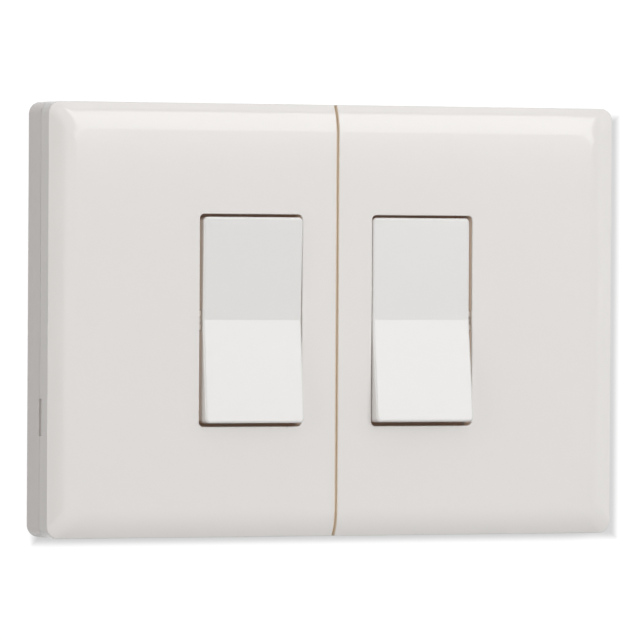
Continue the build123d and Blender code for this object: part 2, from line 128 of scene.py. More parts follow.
class NodeSketch:
    """Short calls that add and join nodes in one node tree."""

    # The sockets of a Mix node that hold colours.
    MIX_FIRST = 6
    MIX_SECOND = 7
    MIX_RESULT = 2

    def __init__(self, tree: bpy.types.NodeTree) -> None:
        """Keep the tree that the nodes go into."""
        self.tree = tree

    def node(self, kind: str, **settings: object) -> bpy.types.Node:
        """Add a node.

        Args:
            kind: The node's type.
            settings: The node's settings by name.

        Returns:
            The node.
        """
        node = self.tree.nodes.new(kind)
        for name, value in settings.items():
            setattr(node, name, value)
        return node

    def feed(self, socket: Socket, value: Value) -> None:
        """Give a socket its value.

        Args:
            socket: The socket that takes the value.
            value: Another socket, which is linked to it, or a plain value.
        """
        if isinstance(value, Socket):
            self.tree.links.new(value, socket)
        else:
            socket.default_value = value

    def place(self) -> Socket:
        """Return the piece's own coordinates, in metres."""
        return self.node("ShaderNodeTexCoord").outputs["Object"]

    def axes(self, vector: Socket) -> tuple[Socket, ...]:
        """Take a vector apart.

        Args:
            vector: The vector.

        Returns:
            Its X, Y and Z.
        """
        node = self.node("ShaderNodeSeparateXYZ")
        self.feed(node.inputs[0], vector)
        return tuple(node.outputs)

    def _operate(self, kind: str, operation: str, values: tuple[Value, ...]) -> bpy.types.Node:
        """Add a node that works something out.

        Args:
            kind: The node's type.
            operation: What it works out.
            values: Its first inputs, in order.

        Returns:
            The node.
        """
        node = self.node(kind, operation=operation)
        for socket, value in zip(node.inputs, values):
            self.feed(socket, value)
        return node

    def math(self, operation: str, *values: Value) -> Socket:
        """Return what a Math node makes of these values."""
        return self._operate("ShaderNodeMath", operation, values).outputs[0]

    def vector(self, operation: str, *values: Value) -> Socket:
        """Return the vector that a Vector Math node makes of these values."""
        return self._operate("ShaderNodeVectorMath", operation, values).outputs["Vector"]

    def length(self, vector: Value) -> Socket:
        """Return a vector's length."""
        return self._operate("ShaderNodeVectorMath", "LENGTH", (vector,)).outputs["Value"]

    def tint(self, colour: Value, shade: Value) -> Socket:
        """Make a colour lighter or darker.

        Args:
            colour: The colour.
            shade: The factor that it is multiplied by.

        Returns:
            The new colour.
        """
        node = self._operate("ShaderNodeVectorMath", "SCALE", (colour,))
        self.feed(node.inputs["Scale"], shade)
        return node.outputs["Vector"]

    def noise(self, place: Value, scale: Value, detail: float = 2.0) -> Socket:
        """Add a noise between 0 and 1.

        Args:
            place: The coordinates that it is read at.
            scale: Its features per metre.
            detail: Its number of finer layers.

        Returns:
            The noise's value.
        """
        node = self.node("ShaderNodeTexNoise")
        self.feed(node.inputs["Vector"], place)
        self.feed(node.inputs["Scale"], scale)
        node.inputs["Detail"].default_value = detail
        return node.outputs[0]

    def blend(self, share: Value, first: Value, second: Value) -> Socket:
        """Blend two colours.

        Args:
            share: The second colour's share, from 0 to 1.
            first: The first colour.
            second: The second colour.

        Returns:
            The colour between them.
        """
        node = self.node("ShaderNodeMix", data_type="RGBA")
        self.feed(node.inputs[0], share)
        self.feed(node.inputs[self.MIX_FIRST], first)
        self.feed(node.inputs[self.MIX_SECOND], second)
        return node.outputs[self.MIX_RESULT]

    def ramp(self, value: Value, start: Value, stop: Value,
             low: float = 0.0, high: float = 1.0) -> Socket:
        """Make a smooth step from one level to another.

        Args:
            value: What the step follows.
            start: Where the step starts.
            stop: Where it ends.
            low: The level before the step.
            high: The level after it.

        Returns:
            The level.
        """
        node = self.node("ShaderNodeMapRange", interpolation_type="SMOOTHSTEP")
        for socket, item in zip(node.inputs, (value, start, stop, low, high)):
            self.feed(socket, item)
        return node.outputs[0]


class SharedGroups:
    """The shader node groups that several finishes use, each built once."""

    NOISE_MIDDLE = 0.5
    CLOUD_LAYERS = 3.0
    LINES_ALONG_X = (0.05, 1.0, 1.0)
    LINE_ROUGHNESS = 0.15
    TARNISH_SCALE = 300.0
    TRACK_SPACING = 0.16
    TRACK_EDGE = (0.09, 0.11)
    LACQUER_SCALE = 150.0
    LACQUER_DRIFT = 0.2
    LACQUER_DARKEST = 0.9
    LACQUER_ROUGHNESS = 0.12

    def __init__(self) -> None:
        """Build the groups."""
        self.moulded = self._moulded_surface()
        self.gap = self._gap_mask()
        self.slot = self._slot_mask()
        self.rolled = self._rolled_metal()
        self.tracks = self._board_tracks()

    @staticmethod
    def _start(
        name: str, inputs: dict[str, float | Rgba], outputs: dict[str, str],
    ) -> tuple[NodeSketch, bpy.types.NodeOutputs, bpy.types.NodeInputs]:
        """Start a group with its sockets.

        Args:
            name: The group's name.
            inputs: Default values by socket name: a number or a colour.
            outputs: Socket types by socket name.

        Returns:
            The sketch, the sockets that bring the inputs and the sockets that take the outputs.
        """
        group = bpy.data.node_groups.new(name, "ShaderNodeTree")
        for label, value in inputs.items():
            kind = "NodeSocketColor" if isinstance(value, tuple) else "NodeSocketFloat"
            socket = group.interface.new_socket(label, in_out="INPUT", socket_type=kind)
            socket.default_value = value
        for label, kind in outputs.items():
            group.interface.new_socket(label, in_out="OUTPUT", socket_type=kind)
        sketch = NodeSketch(group)
        enter = sketch.node("NodeGroupInput").outputs
        return sketch, enter, sketch.node("NodeGroupOutput").inputs

    def _moulded_surface(self) -> bpy.types.NodeTree:
        """Build the group for moulded plastic.

        Returns:
            The group: faint clouds in the colour, a drift in the gloss and a fine skin.
        """
        inputs = {"Colour": (0.75, 0.73, 0.71, 1.0), "Cloud": 0.02, "Cloud Scale": 18.0,
                  "Roughness": 0.2, "Gloss Drift": 0.03, "Skin Scale": 900.0}
        outputs = {"Colour": "NodeSocketColor", "Roughness": "NodeSocketFloat",
                   "Skin": "NodeSocketFloat"}
        sketch, enter, leave = self._start("moulded_surface", inputs, outputs)
        place = sketch.place()
        clouds = sketch.noise(place, enter["Cloud Scale"], self.CLOUD_LAYERS)
        cloud = sketch.math("SUBTRACT", clouds, self.NOISE_MIDDLE)
        shade = sketch.math("MULTIPLY_ADD", cloud, enter["Cloud"], 1.0)
        gloss = sketch.math("MULTIPLY_ADD", cloud, enter["Gloss Drift"], enter["Roughness"])
        sketch.feed(leave["Colour"], sketch.tint(enter["Colour"], shade))
        sketch.feed(leave["Roughness"], gloss)
        sketch.feed(leave["Skin"], sketch.noise(place, enter["Skin Scale"]))
        return sketch.tree

    def _gap_mask(self) -> bpy.types.NodeTree:
        """Build the group that finds where painted shade and painted glow go in the front's gaps.

        Returns:
            The group of masks: an opening's walls below its rim, the side walls among them, the
            seam with its rounded edges, and the seam's walls alone.
        """
        inputs = {"Seam Half": 0.0, "Seam Wall": 0.0, "Centre": 0.024, "Half Width": 0.015,
                  "Half Height": 0.03, "Side From": 0.014, "Rim": 0.0165, "Fade": 0.0004}
        outputs = dict.fromkeys(("Opening", "Sides", "Seam", "Seam Walls"), "NodeSocketFloat")
        sketch, enter, leave = self._start("gap_mask", inputs, outputs)
        x, y, z = sketch.axes(sketch.place())
        off_seam = sketch.math("ABSOLUTE", x)
        across = sketch.math("ABSOLUTE", sketch.math("SUBTRACT", off_seam, enter["Centre"]))
        inside_x = sketch.math("LESS_THAN", across, enter["Half Width"])
        inside_z = sketch.math("LESS_THAN", sketch.math("ABSOLUTE", z), enter["Half Height"])
        below = sketch.ramp(sketch.math("ADD", enter["Rim"], y), 0.0, enter["Fade"])
        inside = sketch.math("MULTIPLY", inside_x, inside_z)
        opening = sketch.math("MULTIPLY", inside, below)
        sides = sketch.math("GREATER_THAN", across, enter["Side From"])
        sketch.feed(leave["Opening"], opening)
        sketch.feed(leave["Sides"], sketch.math("MULTIPLY", opening, sides))
        sketch.feed(leave["Seam"], sketch.math("LESS_THAN", off_seam, enter["Seam Half"]))
        sketch.feed(leave["Seam Walls"], sketch.math("LESS_THAN", off_seam, enter["Seam Wall"]))
        return sketch.tree

    def _slot_mask(self) -> bpy.types.NodeTree:
        """Build the group that finds the pry slots, where a painted glow goes.

        Returns:
            The group, which gives 1 on the slots' sunk faces in both side walls.
        """
        inputs = {"Centre Z": -0.0255, "Half Length": 0.005, "Inner": 0.08, "Outer": 0.081,
                  "Front": 0.011}
        sketch, enter, leave = self._start("slot_mask", inputs, {"Slot": "NodeSocketFloat"})
        x, y, z = sketch.axes(sketch.place())
        out = sketch.math("ABSOLUTE", x)
        sunk = sketch.math("MULTIPLY", sketch.math("GREATER_THAN", out, enter["Inner"]),
                           sketch.math("LESS_THAN", out, enter["Outer"]))
        along = sketch.math("ABSOLUTE", sketch.math("SUBTRACT", z, enter["Centre Z"]))
        behind = sketch.math("GREATER_THAN", sketch.math("ADD", y, enter["Front"]), 0.0)
        near = sketch.math("MULTIPLY", sketch.math("LESS_THAN", along, enter["Half Length"]),
                           behind)
        sketch.feed(leave["Slot"], sketch.math("MULTIPLY", sunk, near))
        return sketch.tree

    def _rolled_metal(self) -> bpy.types.NodeTree:
        """Build the group for rolled and plated metal.

        Returns:
            The group: fine lines along X and cloudy tarnish.
        """
        inputs = {"Colour": (0.6, 0.6, 0.6, 1.0), "Tarnish": (0.4, 0.38, 0.35, 1.0),
                  "Tarnish Share": 0.3, "Roughness": 0.3, "Line Scale": 4000.0}
        outputs = {"Colour": "NodeSocketColor", "Roughness": "NodeSocketFloat",
                   "Lines": "NodeSocketFloat"}
        sketch, enter, leave = self._start("rolled_metal", inputs, outputs)
        place = sketch.place()
        drawn_out = sketch.vector("MULTIPLY", place, self.LINES_ALONG_X)
        lines = sketch.noise(drawn_out, enter["Line Scale"])
        tarnish = sketch.noise(place, self.TARNISH_SCALE)
        share = sketch.math("MULTIPLY", tarnish, enter["Tarnish Share"])
        gloss = sketch.math("MULTIPLY_ADD", lines, self.LINE_ROUGHNESS, enter["Roughness"])
        sketch.feed(leave["Colour"], sketch.blend(share, enter["Colour"], enter["Tarnish"]))
        sketch.feed(leave["Roughness"], gloss)
        sketch.feed(leave["Lines"], lines)
        return sketch.tree

    def _board_tracks(self) -> bpy.types.NodeTree:
        """Build the group for a circuit board.

        Returns:
            The group: square-cornered copper tracks under a coloured lacquer.
        """
        inputs = {"Lacquer": (0.03, 0.16, 0.07, 1.0), "Over Copper": (0.06, 0.24, 0.10, 1.0),
                  "Track Scale": 330.0, "Roughness": 0.3}
        outputs = {"Colour": "NodeSocketColor", "Roughness": "NodeSocketFloat",
                   "Height": "NodeSocketFloat"}
        sketch, enter, leave = self._start("board_tracks", inputs, outputs)
        place = sketch.place()
        cells = sketch.node("ShaderNodeTexVoronoi", feature="F1", distance="CHEBYCHEV")
        sketch.feed(cells.inputs["Vector"], sketch.vector("MULTIPLY", place, FLATTEN))
        sketch.feed(cells.inputs["Scale"], enter["Track Scale"])
        rings = sketch.math("PINGPONG", cells.outputs["Distance"], self.TRACK_SPACING)
        track = sketch.ramp(rings, *self.TRACK_EDGE)
        lacquer = sketch.blend(track, enter["Lacquer"], enter["Over Copper"])
        cloud = sketch.noise(place, self.LACQUER_SCALE)
        shade = sketch.math("MULTIPLY_ADD", cloud, self.LACQUER_DRIFT, self.LACQUER_DARKEST)
        gloss = sketch.math("MULTIPLY_ADD", cloud, self.LACQUER_ROUGHNESS, enter["Roughness"])
        sketch.feed(leave["Colour"], sketch.tint(lacquer, shade))
        sketch.feed(leave["Roughness"], gloss)
        sketch.feed(leave["Height"], track)
        return sketch.tree


class MaterialSketch(NodeSketch):
    """A new material with one Principled shader."""

    def __init__(self, name: str) -> None:
        """Start the material.

        Args:
            name: The material's name.
        """
        self.material = bpy.data.materials.new(name)
        self.material.use_nodes = True
        super().__init__(self.material.node_tree)
        self.shader = self.tree.nodes["Principled BSDF"]

    def group(self, tree: bpy.types.NodeTree, values: dict[str, float | Rgba]) -> bpy.types.Node:
        """Place a shared group here.

        Args:
            tree: The group.
            values: The group's own values in this material, by socket name.

        Returns:
            The group's node.
        """
        node = self.node("ShaderNodeGroup", node_tree=tree)
        for name, value in values.items():
            node.inputs[name].default_value = value
        return node

    def bump(self, height: Socket, depth: float) -> None:
        """Press a relief into the surface.

        Args:
            height: The relief, from 0 to 1.
            depth: Its depth in metres.
        """
        node = self.node("ShaderNodeBump")
        node.inputs["Distance"].default_value = depth
        self.feed(node.inputs["Height"], height)
        self.feed(self.shader.inputs["Normal"], node.outputs["Normal"])

    def glow(self, lights: list[Socket]) -> None:
        """Paint a glow on the surface: several painted lights added up as emission.

        Args:
            lights: The colours of the lights, which may be none.
        """
        if not lights:
            return
        total = lights[0]
        for light in lights[1:]:
            total = self.vector("ADD", total, light)
        self.feed(self.shader.inputs["Emission Color"], total)
        self.shader.inputs["Emission Strength"].default_value = 1.0


# Finishes


@dataclass(frozen=True)
class GapShadeAndGlow:
    """Painted warm shade on the white plastic deep inside the seam and the rocker gaps.

    The shines are painted glows: emission that stands in for light coming through the plastic.
    """

    # The colours are painted shade, on an opening's walls and on the seam; the shines are painted
    # glow.
    colour: Triple
    rim: float
    fade: float
    half_width: float
    half_height: float
    side_from: float = 0.0
    shine: Triple | None = None
    centre: float = 24.6 * MM
    seam_shade: Triple | None = None
    seam_shine: Triple = (0.0, 0.0, 0.0)
    seam_half: float = 0.50 * MM
    seam_wall: float = 0.304 * MM

    def values(self) -> dict[str, float]:
        """Return the values of the gap mask's sockets."""
        return {"Seam Half": self.seam_half, "Seam Wall": self.seam_wall, "Centre": self.centre,
                "Half Width": self.half_width, "Half Height": self.half_height,
                "Side From": self.side_from, "Rim": self.rim, "Fade": self.fade}


@dataclass(frozen=True)
class SlotGlow:
    """A painted glow in the pry slots, standing in for light coming through the plastic."""

    shine: Triple = (0.028, 0.027, 0.026)
    centre_z: float = -25.5 * MM
    half_length: float = 4.9 * MM
    inner: float = 79.9 * MM
    outer: float = 80.75 * MM
    front: float = 11.0 * MM

    def values(self) -> dict[str, float]:
        """Return the values of the slot mask's sockets."""
        return {"Centre Z": self.centre_z, "Half Length": self.half_length, "Inner": self.inner,
                "Outer": self.outer, "Front": self.front}


@dataclass(frozen=True)
class PlasticFinish:
    """A moulded plastic."""

    name: str
    colour: Triple
    roughness: float
    cloud: float = 0.012
    drift: float = 0.03
    skin_scale: float = 700.0
    skin_depth: float = 0.001 * MM
    # Painted shade and painted glow in the gaps and slots, and a painted glow in its own colour.
    gap: GapShadeAndGlow | None = None
    slot: SlotGlow | None = None
    painted_glow: float = 0.0

    def build(self, groups: SharedGroups) -> bpy.types.Material:
        """Make the plastic's material.

        Args:
            groups: The shared node groups.

        Returns:
            The material.
        """
        sketch = MaterialSketch(self.name)
        surface = sketch.group(groups.moulded, {
            "Colour": opaque(self.colour), "Cloud": self.cloud, "Roughness": self.roughness,
            "Gloss Drift": self.drift, "Skin Scale": self.skin_scale})
        colour = surface.outputs["Colour"]
        lights: list[Socket] = []
        # Painted shade deep in the gaps, and painted glow on their walls and in the pry slots.
        if self.gap:
            mask = sketch.group(groups.gap, self.gap.values()).outputs
            colour = sketch.blend(mask["Opening"], colour, opaque(self.gap.colour))
            if self.gap.shine:
                lights.append(sketch.tint(self.gap.shine, mask["Sides"]))
            if self.gap.seam_shade:
                colour = sketch.blend(mask["Seam"], colour, opaque(self.gap.seam_shade))
                lights.append(sketch.tint(self.gap.seam_shine, mask["Seam Walls"]))
        if self.slot:
            mask = sketch.group(groups.slot, self.slot.values()).outputs
            lights.append(sketch.tint(self.slot.shine, mask["Slot"]))
        # A painted glow in the plastic's own colour, standing in for light coming through it.
        if self.painted_glow:
            lights.append(sketch.tint(colour, self.painted_glow))
        sketch.glow(lights)
        sketch.feed(sketch.shader.inputs["Base Color"], colour)
        sketch.feed(sketch.shader.inputs["Roughness"], surface.outputs["Roughness"])
        sketch.bump(surface.outputs["Skin"], self.skin_depth)
        return sketch.material


@dataclass(frozen=True)
class MetalFinish:
    """A rolled or plated metal."""

    name: str
    colour: Triple
    tarnish: Triple
    roughness: float
    line_scale: float = 4000.0
    line_depth: float = 0.0004 * MM

    def build(self, groups: SharedGroups) -> bpy.types.Material:
        """Make the metal's material.

        Args:
            groups: The shared node groups.

        Returns:
            The material.
        """
        sketch = MaterialSketch(self.name)
        surface = sketch.group(groups.rolled, {
            "Colour": opaque(self.colour), "Tarnish": opaque(self.tarnish),
            "Roughness": self.roughness, "Line Scale": self.line_scale})
        sketch.feed(sketch.shader.inputs["Base Color"], surface.outputs["Colour"])
        sketch.feed(sketch.shader.inputs["Roughness"], surface.outputs["Roughness"])
        sketch.shader.inputs["Metallic"].default_value = 1.0
        sketch.bump(surface.outputs["Lines"], self.line_depth)
        return sketch.material


@dataclass(frozen=True)
class BoardFinish:
    """A lacquered circuit board with copper tracks under the lacquer."""

    name: str
    lacquer: Triple
    over_copper: Triple
    roughness: float
    track_depth: float = 0.03 * MM

    def build(self, groups: SharedGroups) -> bpy.types.Material:
        """Make the board's material.

        Args:
            groups: The shared node groups.

        Returns:
            The material.
        """
        sketch = MaterialSketch(self.name)
        surface = sketch.group(groups.tracks, {
            "Lacquer": opaque(self.lacquer), "Over Copper": opaque(self.over_copper),
            "Roughness": self.roughness})
        sketch.feed(sketch.shader.inputs["Base Color"], surface.outputs["Colour"])
        sketch.feed(sketch.shader.inputs["Roughness"], surface.outputs["Roughness"])
        sketch.bump(surface.outputs["Height"], self.track_depth)
        return sketch.material


Finish = PlasticFinish | MetalFinish | BoardFinish

# Painted shade deep in the openings, seam, rocker sides and frame, and painted glow on side walls.
COVER_GAP = GapShadeAndGlow(
    colour=(0.78, 0.61, 0.47), rim=16.65 * MM, fade=0.3 * MM, half_width=14.60 * MM,
    half_height=28.06 * MM, side_from=14.4 * MM, shine=(0.10, 0.093, 0.086),
    seam_shade=(0.68, 0.59, 0.49), seam_shine=(0.08, 0.065, 0.045))
ROCKER_GAP = GapShadeAndGlow(
    colour=(0.67, 0.59, 0.52), rim=16.4 * MM, fade=1.5 * MM, half_width=20.0 * MM,
    half_height=40.0 * MM, side_from=13.6 * MM, shine=(0.085, 0.08, 0.074))
FRAME_GAP = GapShadeAndGlow(
    colour=(0.66, 0.47, 0.36), rim=12.0 * MM, fade=1.0 * MM, half_width=60.0 * MM,
    half_height=60.0 * MM)

COVER_WHITE = PlasticFinish(
    "cover_white", (0.755, 0.732, 0.711), roughness=0.08, gap=COVER_GAP, slot=SlotGlow())
ROCKER_WHITE = PlasticFinish(
    "rocker_white", (0.733, 0.724, 0.711), roughness=0.2, skin_scale=5000.0, gap=ROCKER_GAP)
TRAY_WHITE = PlasticFinish(
    "tray_white", (0.715, 0.680, 0.655), roughness=0.22, skin_scale=3000.0, slot=SlotGlow())
# The frame is tan, with a faint painted glow of its own colour.
FRAME_TAN = PlasticFinish(
    "frame_tan", (0.60, 0.54, 0.48), roughness=0.5, cloud=0.05, skin_scale=2500.0, gap=FRAME_GAP,
    painted_glow=0.05)
SWITCH_BLACK = PlasticFinish(
    "switch_black", (0.03, 0.03, 0.03), roughness=0.45, cloud=0.2, skin_scale=6000.0)
PLUNGER_IVORY = PlasticFinish(
    "plunger_ivory", (0.75, 0.74, 0.70), roughness=0.4, cloud=0.04, skin_scale=4000.0)
CERAMIC_TAN = PlasticFinish(
    "ceramic_tan", (0.42, 0.30, 0.19), roughness=0.5, cloud=0.15, skin_scale=9000.0)
BOARD_GREEN = BoardFinish(
    "board_green", lacquer=(0.02, 0.13, 0.06), over_copper=(0.05, 0.22, 0.09), roughness=0.3)
CELL_STEEL = MetalFinish(
    "cell_steel", (0.62, 0.61, 0.59), tarnish=(0.45, 0.43, 0.40), roughness=0.2)
CONTACT_STEEL = MetalFinish(
    "contact_steel", (0.66, 0.64, 0.60), tarnish=(0.50, 0.46, 0.40), roughness=0.25)
SHIELD_TIN = MetalFinish(
    "shield_tin", (0.68, 0.68, 0.66), tarnish=(0.50, 0.50, 0.48), roughness=0.3,
    line_scale=2500.0)
ANTENNA_BRASS = MetalFinish(
    "antenna_brass", (0.75, 0.60, 0.30), tarnish=(0.50, 0.38, 0.18), roughness=0.3)
SCREW_STEEL = MetalFinish(
    "screw_steel", (0.58, 0.57, 0.55), tarnish=(0.42, 0.40, 0.36), roughness=0.3,
    line_scale=6000.0)


class FinishShop:
    """Builds each finish once and puts it on pieces."""

    def __init__(self) -> None:
        """Start with the shared groups and no material."""
        self.groups = SharedGroups()
        self.materials: dict[str, bpy.types.Material] = {}

    def paint(self, piece: bpy.types.Object, finish: Finish) -> None:
        """Fill a piece's only material slot with a finish.

        Args:
            piece: The piece.
            finish: Its finish.
        """
        if finish.name not in self.materials:
            self.materials[finish.name] = finish.build(self.groups)
        piece.data.materials.clear()
        piece.data.materials.append(self.materials[finish.name])

    def dress(self, node: str, finish: Finish) -> None:
        """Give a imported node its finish."""
        self.paint(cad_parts[node], finish)
        log.info("dressed %s in %s", node, finish.name)

    def fit(self, piece: bpy.types.Object, finish: Finish,
            body: str = "housing") -> None:
        """Give a new piece its finish and the body that carries it.

        Args:
            piece: The finished piece.
            finish: Its finish.
            body: The body that it rides on.
        """
        self.paint(piece, finish)
        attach(piece, body)
        log.info("built %s in %s", piece.name, finish.name)


# Modelling by hand


def deselect_all() -> None:
    """Leave no object selected or active, so that an operator acts only on what follows."""
    if bpy.context.object and bpy.context.object.mode != "OBJECT":
        bpy.ops.object.mode_set(mode="OBJECT")
    bpy.ops.object.select_all(action="DESELECT")
    bpy.context.view_layer.objects.active = None


def pick(pieces: list[bpy.types.Object]) -> None:
    """Select some objects alone.

    Args:
        pieces: The objects. The first one becomes active.
    """
    deselect_all()
    for piece in pieces:
        piece.select_set(True)
    bpy.context.view_layer.objects.active = pieces[0]


def start_plane(name: str, width: float, height: float, turn: Turn) -> bpy.types.Object:
    """Start a piece as a flat plane at the origin, with all of it selected in edit mode.

    Args:
        name: The piece's name.
        width: Its first size in metres: along X, or along Z where it faces right.
        height: Its second size in metres: along Z, or along Y where it faces right or up.
        turn: Which way it faces.

    Returns:
        The plane's object, in edit mode.
    """
    deselect_all()
    bpy.ops.mesh.primitive_plane_add(size=1.0, rotation=turn.value)
    plane = bpy.context.object
    plane.name = plane.data.name = name
    plane.scale = (width, height, 1.0)
    bpy.ops.object.transform_apply(location=True, rotation=True, scale=True)
    bpy.ops.object.mode_set(mode="EDIT")
    bpy.ops.mesh.select_all(action="SELECT")
    return plane


def extrude(move: Triple) -> None:
    """Extrude what is selected and move it."""
    bpy.ops.mesh.extrude_region_move(
        TRANSFORM_OT_translate={"value": move, "orient_type": "GLOBAL"})


def resize(share: Triple, centre: Triple = (0.0, 0.0, 0.0)) -> None:
    """Scale what is selected about a point."""
    bpy.ops.transform.resize(value=share, orient_type="GLOBAL", center_override=centre)


def shift(move: Triple) -> None:
    """Move what is selected."""
    bpy.ops.transform.translate(value=move, orient_type="GLOBAL")


def select_open_edges() -> None:
    """Select the open edges of the mesh in edit mode."""
    bpy.ops.mesh.select_all(action="DESELECT")
    bpy.ops.mesh.select_non_manifold()


def select_faces(piece: bpy.types.Object,
                 wanted: Callable[[bpy.types.MeshPolygon], bool]) -> None:
    """Select faces of a piece by their place or normal.

    Args:
        piece: The piece, in edit mode.
        wanted: Tells whether a face is selected.
    """
    bpy.ops.mesh.select_all(action="DESELECT")
    bpy.ops.mesh.select_mode(type="FACE")
    bpy.ops.object.mode_set(mode="OBJECT")
    for face in piece.data.polygons:
        face.select = wanted(face)
    bpy.ops.object.mode_set(mode="EDIT")


def close_mesh() -> None:
    """Fill what is open in the mesh, turn its faces outwards and leave edit mode."""
    bpy.ops.mesh.select_mode(type="VERT")
    select_open_edges()
    bpy.ops.mesh.edge_face_add()
    bpy.ops.mesh.select_all(action="SELECT")
    bpy.ops.mesh.normals_make_consistent(inside=False)
    bpy.ops.object.mode_set(mode="OBJECT")


def finish_with(piece: bpy.types.Object, kind: str, **settings: object) -> None:
    """Add a modifier with its settings and apply it.

    Args:
        piece: The piece, in object mode.
        kind: The modifier's type.
        settings: The modifier's settings.
    """
    modifier = piece.modifiers.new(kind.lower(), kind)
    for name, value in settings.items():
        setattr(modifier, name, value)
    pick([piece])
    bpy.ops.object.modifier_apply(modifier=modifier.name)


def mirror_across(piece: bpy.types.Object) -> None:
    """Add a piece's mirror image on the other side of X = 0."""
    finish_with(piece, "MIRROR", use_axis=(True, False, False), use_clip=False,
                use_mirror_merge=False)


def soften(piece: bpy.types.Object, width: float) -> None:
    """Round a piece's sharp edges and shade it smooth between them.

    Args:
        piece: The piece, in object mode.
        width: The width of the rounding in metres.
    """
    finish_with(piece, "BEVEL", width=width, segments=BEVEL_STEPS, limit_method="ANGLE",
                angle_limit=SHARP_ANGLE)
    pick([piece])
    bpy.ops.object.shade_smooth_by_angle(angle=SMOOTH_ANGLE)


def set_down(pattern: bpy.types.Object, name: str, places: list[Triple]) -> bpy.types.Object:
    """Make one piece of copies of a pattern at several places. The pattern itself is used up.

    Args:
        pattern: The piece that was modelled at the origin.
        name: The new piece's name.
        places: The places of its copies, in metres.

    Returns:
        The joined piece, at the origin and unturned.
    """
    copies = [pattern]
    for _ in places[1:]:
        copy = pattern.copy()
        copy.data = pattern.data.copy()
        bpy.context.scene.collection.objects.link(copy)
        copies.append(copy)
    for copy, place in zip(copies, places):
        copy.location = place
    pick(copies)
    bpy.ops.object.transform_apply(location=True, rotation=True, scale=True)
    if len(copies) > 1:
        bpy.ops.object.join()
    piece = bpy.context.object
    piece.name = piece.data.name = name
    return piece


# Small parts on the boards


@dataclass
class BentLegs:
    """Two rows of bent sheet legs that stand beside a part's body and rest on the board."""

    per_row: int
    pitch: float
    start: float
    level: float
    width: float
    thickness: float
    stub: float
    slope: float
    foot: float
    rounding: float = 0.04 * MM

    def build(self, name: str, places: list[Triple]) -> bpy.types.Object:
        """Build the legs of one or more parts.

        Args:
            name: The piece's name.
            places: Where the parts stand on the board, in metres.

        Returns:
            All the legs as one piece.
        """
        drop = self.level - self.thickness / 2
        leg = start_plane("leg", self.width, self.thickness, Turn.TO_RIGHT)
        shift((self.start, -self.level, 0.0))
        extrude((self.stub, 0.0, 0.0))
        extrude((self.slope, drop, 0.0))
        extrude((self.foot, 0.0, 0.0))
        close_mesh()
        soften(leg, self.rounding)
        finish_with(leg, "ARRAY", count=self.per_row, use_relative_offset=False,
                    use_constant_offset=True, constant_offset_displace=(0.0, 0.0, self.pitch))
        pick([leg])
        leg.location = (0.0, 0.0, -self.pitch * (self.per_row - 1) / 2)
        bpy.ops.object.transform_apply(location=True, rotation=True, scale=True)
        mirror_across(leg)
        return set_down(leg, name, places)


@dataclass
class ControllerChip:
    """One gang's controller: a package with a parting line, a sunk top and two rows of legs."""

    width: float = 3.9 * MM
    length: float = 8.7 * MM
    height: float = 1.3 * MM
    standoff: float = 0.15 * MM
    draft: float = 0.95
    panel_inset: float = 0.25 * MM
    panel_depth: float = 0.05 * MM
    rounding: float = 0.08 * MM
    out_from_seam: float = 44.75 * MM
    up: float = -12.5 * MM
    legs: BentLegs = field(default_factory=lambda: BentLegs(
        per_row=6, pitch=1.27 * MM, start=1.9 * MM, level=0.75 * MM, width=0.42 * MM,
        thickness=0.2 * MM, stub=0.3 * MM, slope=0.25 * MM, foot=0.5 * MM))

    def build(self, side: Side, board_front: float, shop: FinishShop) -> None:
        """Build the chip on a gang's board and dress it.

        Args:
            side: The gang.
            board_front: How far the board's front stands from the wall.
            shop: The finishes.
        """
        place = (side.sign * self.out_from_seam, -board_front, self.up)
        body = self._build_package()
        chip = set_down(body, f"{side.value}_controller_chip", [place])
        shop.fit(chip, SWITCH_BLACK)
        legs = self.legs.build(f"{side.value}_controller_legs", [place])
        shop.fit(legs, SHIELD_TIN)

    def _build_package(self) -> bpy.types.Object:
        """Model the package at the origin, both ways from its parting line.

        Returns:
            The package, in object mode.
        """
        parting = -self.standoff - self.height / 2
        body = start_plane("chip", self.width, self.length, Turn.TO_FRONT)
        shift((0.0, parting, 0.0))
        extrude((0.0, -self.height / 2, 0.0))
        resize((self.draft, 1.0, self.draft))
        select_faces(body, lambda face: abs(face.center.y - parting) < NEAR)
        extrude((0.0, self.height / 2, 0.0))
        resize((self.draft, 1.0, self.draft))
        close_mesh()
        bpy.ops.object.mode_set(mode="EDIT")
        select_faces(body, lambda face: face.normal.y < -FACING)
        bpy.ops.mesh.inset(thickness=self.panel_inset, depth=-self.panel_depth)
        bpy.ops.object.mode_set(mode="OBJECT")
        soften(body, self.rounding)
        return body


